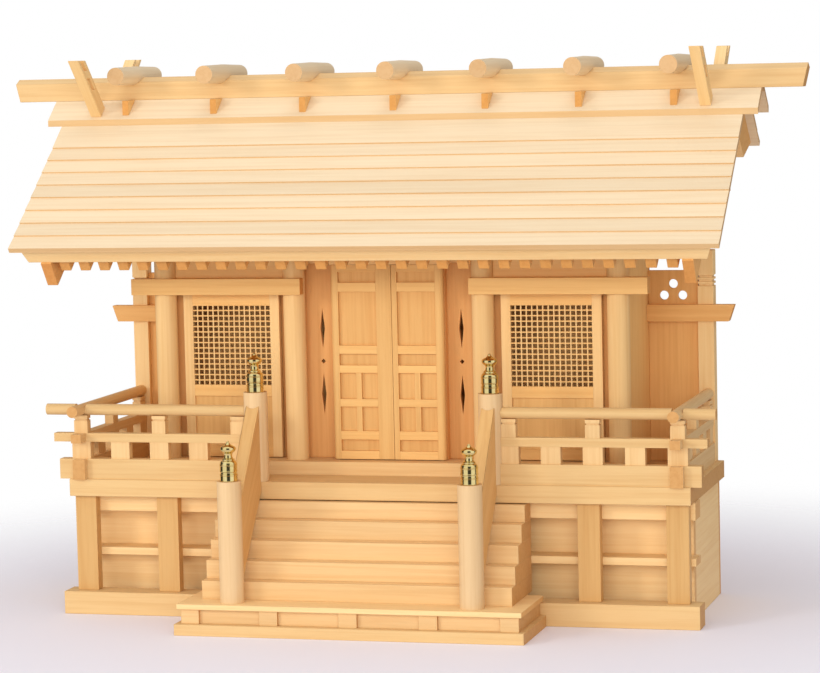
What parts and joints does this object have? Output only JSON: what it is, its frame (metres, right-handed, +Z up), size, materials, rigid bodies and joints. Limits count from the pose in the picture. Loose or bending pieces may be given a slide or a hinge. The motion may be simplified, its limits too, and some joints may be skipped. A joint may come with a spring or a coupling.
{
  "type": "household shinto shrine",
  "caption": "Plain wood household shrine with three bays under one lapped board roof, railed veranda, front stairs, hinged centre doors and brass finials.",
  "frame": {"origin": "middle of the footprint at the level it stands on", "axes": "+X to the right seen from the front, +Y to the back, +Z up"},
  "size_m": [0.72, 0.2922, 0.4835],
  "materials": {
    "hinoki": "plain planed wood",
    "brass": "polished"
  },
  "bodies": {
    "shrine": {"base_plinth": "hinoki", "base_front_panel": "hinoki", "base_sides": "hinoki", "base_back": "hinoki", "base_rails": "hinoki", "base_posts": "hinoki", "deck": "hinoki", "platform_plinth": "hinoki", "platform_body": "hinoki", "platform_top": "hinoki", "step_1": "hinoki", "step_2": "hinoki", "step_3": "hinoki", "step_4": "hinoki", "step_5": "hinoki", "stair_boards": "hinoki", "newels": "hinoki", "finials": "brass", "front_rails": "hinoki", "side_rails": "hinoki", "rail_struts": "hinoki", "body_floor": "hinoki", "sill": "hinoki", "columns": "hinoki", "tie_beams": "hinoki", "lattice_doors": "hinoki", "door_side_boards": "hinoki", "frieze_boards": "hinoki", "side_walls": "hinoki", "back_wall": "hinoki", "purlins": "hinoki", "screen_panels": "hinoki", "screen_posts": "hinoki", "screen_beams": "hinoki", "rafters": "hinoki", "bargeboards": "hinoki", "under_roof": "hinoki", "roof_front": "hinoki", "roof_rear": "hinoki", "ridge_cover": "hinoki", "ridge_beam": "hinoki", "ridge_wedges": "hinoki", "ridge_logs": "hinoki", "ridge_horns": "hinoki"},
    "left_door": {"left_door": "hinoki"},
    "right_door": {"right_door": "hinoki"}
  },
  "joints": [
    {"name": "left_door_hinge", "type": "hinge", "parent": "shrine", "child": "left_door", "pos_m": [-0.0471, 0.0054, 0.21605], "axis": [0, 0, -1], "range_deg": [0, 105]},
    {"name": "right_door_hinge", "type": "hinge", "parent": "shrine", "child": "right_door", "pos_m": [0.0471, 0.0054, 0.21605], "axis": [0, 0, 1], "range_deg": [0, 105]}
  ]
}
